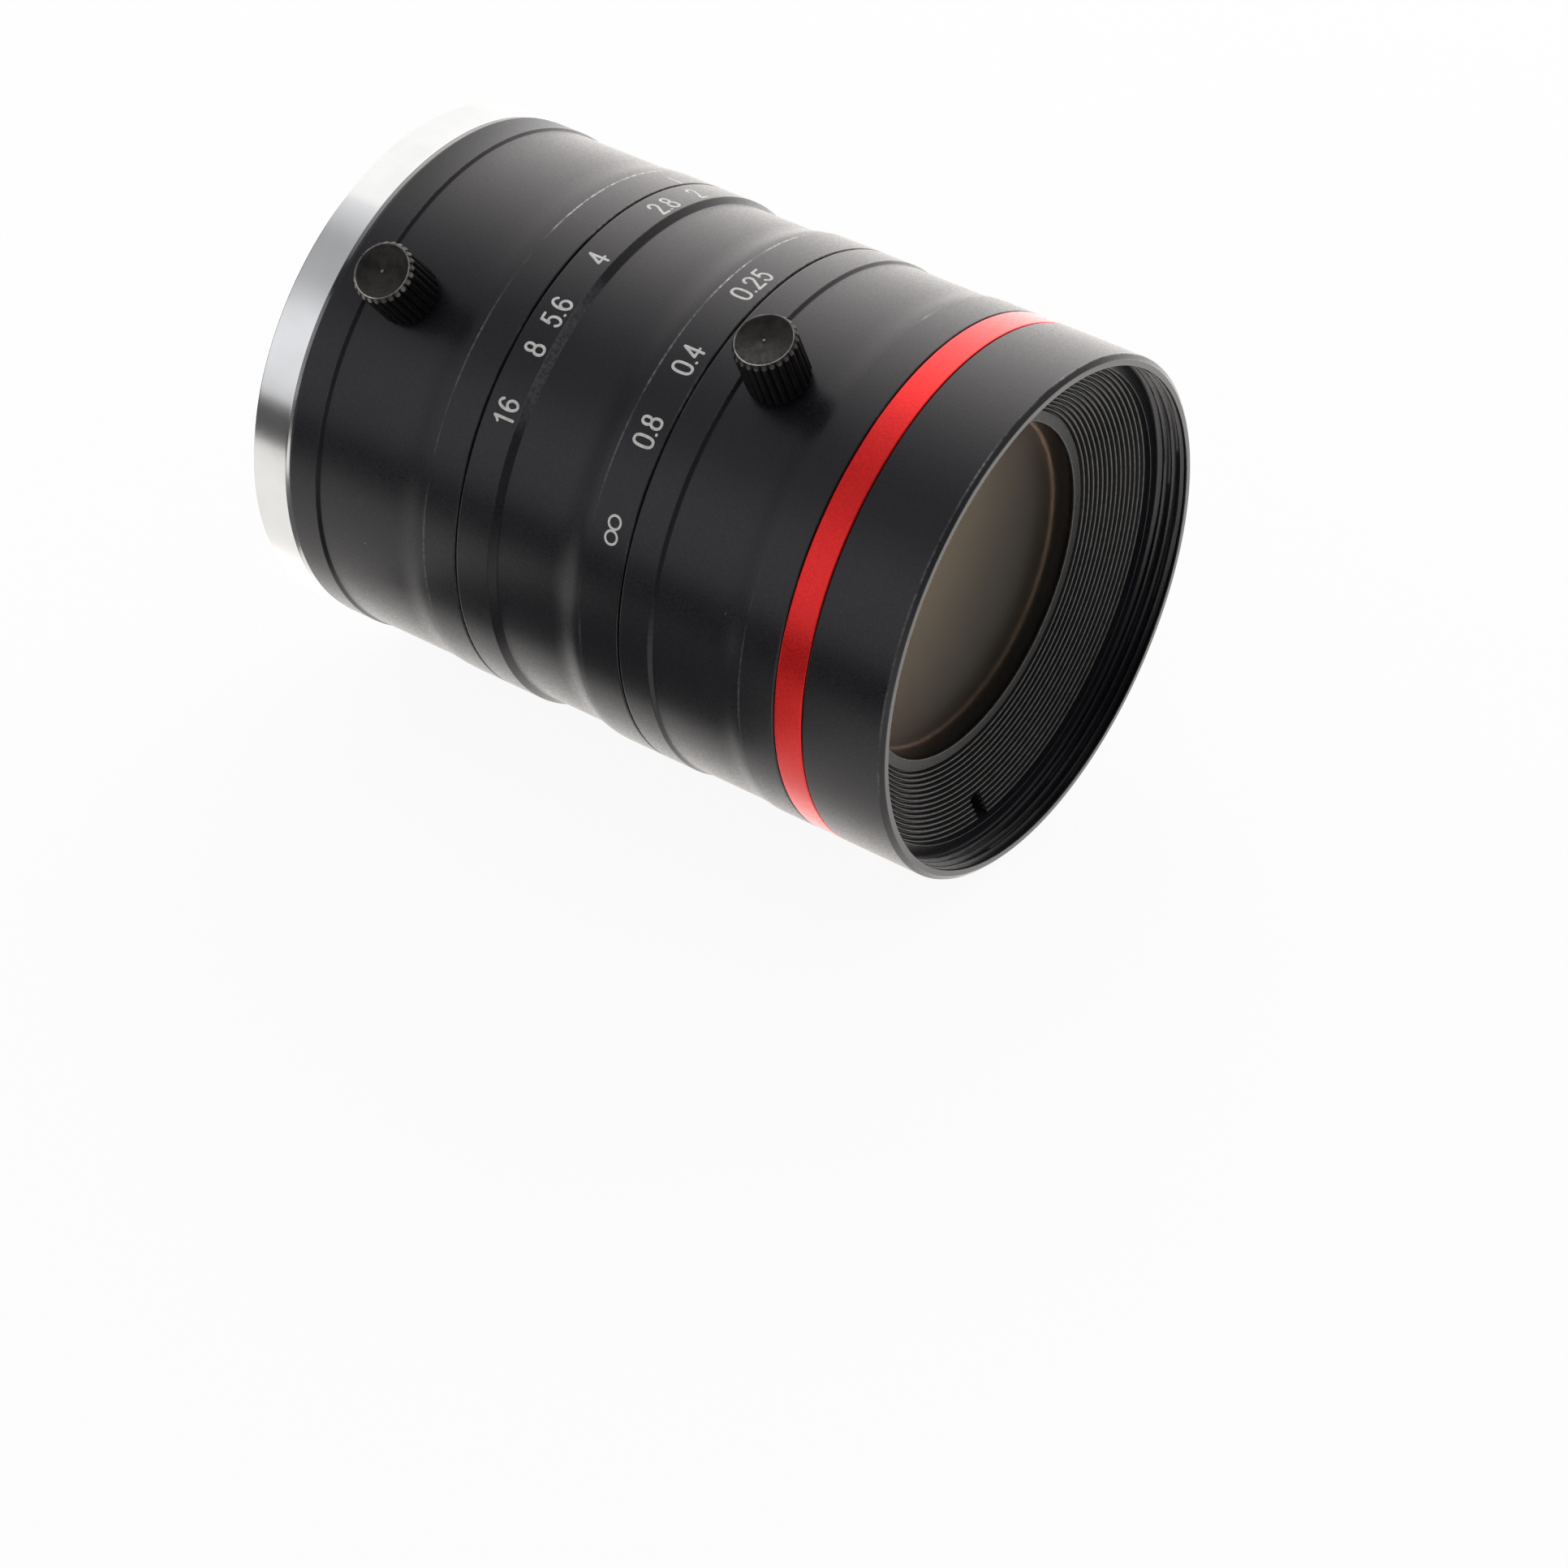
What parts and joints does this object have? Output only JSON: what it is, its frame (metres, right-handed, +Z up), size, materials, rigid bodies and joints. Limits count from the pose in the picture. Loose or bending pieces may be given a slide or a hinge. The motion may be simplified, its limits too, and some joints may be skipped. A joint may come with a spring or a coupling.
{
  "type": "c-mount machine vision lens",
  "caption": "Manual machine vision lens with a C-mount thread, aperture and focusing rings with knurled lock screws, a red accent ring and a filter thread in the front hood.",
  "frame": {"origin": "centre of the mount's flange face, on the optical axis", "axes": "+X along the optical axis towards the front, +Z up as the lens lies on its side"},
  "size_m": [0.066, 0.044, 0.048],
  "materials": {
    "bright_mount": "turned and polished, bright",
    "black_anodised": "bead-blasted, satin black anodised",
    "red_anodised": "satin bright red anodised",
    "matte_black_inner": "matte black anodised, turned",
    "coated_glass": "polished glass with an anti-reflection coating",
    "black_oxide_screw": "black oxide steel, straight knurl",
    "spring_steel": "plain spring steel",
    "blade_black": "blackened steel leaf",
    "brass_key": "plain brass",
    "sliding_washer": "smooth dark plastic"
  },
  "bodies": {
    "barrel": {"mount_ring": "bright_mount", "main_barrel": "matte_black_inner", "guide_key": "brass_key", "scale_barrel": "black_anodised", "focus_retainer": "matte_black_inner", "iris_washer": "sliding_washer", "focus_washer": "sliding_washer", "rear_cell": "matte_black_inner", "rear_flint": "coated_glass", "rear_crown": "coated_glass", "rear_spacer": "matte_black_inner", "rear_lens": "coated_glass", "rear_retainer": "matte_black_inner", "iris_housing": "matte_black_inner", "iris_snap_ring": "spring_steel"},
    "iris_ring": {"iris_ring": "black_anodised", "iris_drive_pin": "spring_steel", "iris_actuator": "matte_black_inner"},
    "iris_lock_screw": {"iris_lock_screw": "black_oxide_screw"},
    "focus_ring": {"focus_ring": "black_anodised", "red_ring": "red_anodised", "front_hood": "black_anodised", "front_baffle": "matte_black_inner", "front_lens": "coated_glass", "front_spacer": "matte_black_inner", "second_lens": "coated_glass"},
    "focus_lock_screw": {"focus_lock_screw": "black_oxide_screw"},
    "focus_cell": {"focus_cell": "matte_black_inner", "cell_rear_lens": "coated_glass", "cell_spacer": "matte_black_inner", "cell_front_lens": "coated_glass", "cell_retainer": "matte_black_inner"},
    "iris_blade_1": {"iris_blade_1": "blade_black"},
    "iris_blade_2": {"iris_blade_2": "blade_black"},
    "iris_blade_3": {"iris_blade_3": "blade_black"},
    "iris_blade_4": {"iris_blade_4": "blade_black"},
    "iris_blade_5": {"iris_blade_5": "blade_black"},
    "iris_blade_6": {"iris_blade_6": "blade_black"}
  },
  "joints": [
    {"name": "iris_turn", "type": "hinge", "parent": "barrel", "child": "iris_ring", "pos_m": [0.0124, 0, 0], "axis": [1, 0, 0], "range_deg": [0, 75]},
    {"name": "iris_screw_turn", "type": "hinge", "parent": "iris_ring", "child": "iris_lock_screw", "pos_m": [0.0105, 0, 0], "axis": [0, -0.6088, 0.7934], "range_deg": [0, 360]},
    {"name": "focus_turn", "type": "hinge", "parent": "barrel", "child": "focus_ring", "pos_m": [0.0396, 0, 0], "axis": [1, 0, 0], "range_deg": [-20, 41]},
    {"name": "focus_screw_turn", "type": "hinge", "parent": "focus_ring", "child": "focus_lock_screw", "pos_m": [0.043, 0, 0], "axis": [0, -0.3955, 0.9184], "range_deg": [0, 360]},
    {"name": "focus_cell_slide", "type": "slide", "parent": "barrel", "child": "focus_cell", "axis": [1, 0, 0], "range_m": [-0.00192, 0.00095]},
    {"name": "iris_blade_1_turn", "type": "hinge", "parent": "barrel", "child": "iris_blade_1", "pos_m": [0.0155, 0.0144, 0], "axis": [1, 0, 0], "range_deg": [0, 28.5]},
    {"name": "iris_blade_2_turn", "type": "hinge", "parent": "barrel", "child": "iris_blade_2", "pos_m": [0.0155, 0.0072, 0.01247], "axis": [1, 0, 0], "range_deg": [0, 28.5]},
    {"name": "iris_blade_3_turn", "type": "hinge", "parent": "barrel", "child": "iris_blade_3", "pos_m": [0.0155, -0.0072, 0.01247], "axis": [1, 0, 0], "range_deg": [0, 28.5]},
    {"name": "iris_blade_4_turn", "type": "hinge", "parent": "barrel", "child": "iris_blade_4", "pos_m": [0.0155, -0.0144, 0], "axis": [1, 0, 0], "range_deg": [0, 28.5]},
    {"name": "iris_blade_5_turn", "type": "hinge", "parent": "barrel", "child": "iris_blade_5", "pos_m": [0.0155, -0.0072, -0.01247], "axis": [1, 0, 0], "range_deg": [0, 28.5]},
    {"name": "iris_blade_6_turn", "type": "hinge", "parent": "barrel", "child": "iris_blade_6", "pos_m": [0.0155, 0.0072, -0.01247], "axis": [1, 0, 0], "range_deg": [0, 28.5]}
  ],
  "couplings": [
    {"joint": "focus_cell_slide", "follows": "focus_turn", "m_per_rad": -0.0026547},
    {"joint": "iris_blade_1_turn", "follows": "iris_turn", "ratio": 0.37333},
    {"joint": "iris_blade_2_turn", "follows": "iris_turn", "ratio": 0.37333},
    {"joint": "iris_blade_3_turn", "follows": "iris_turn", "ratio": 0.37333},
    {"joint": "iris_blade_4_turn", "follows": "iris_turn", "ratio": 0.37333},
    {"joint": "iris_blade_5_turn", "follows": "iris_turn", "ratio": 0.37333},
    {"joint": "iris_blade_6_turn", "follows": "iris_turn", "ratio": 0.37333}
  ]
}
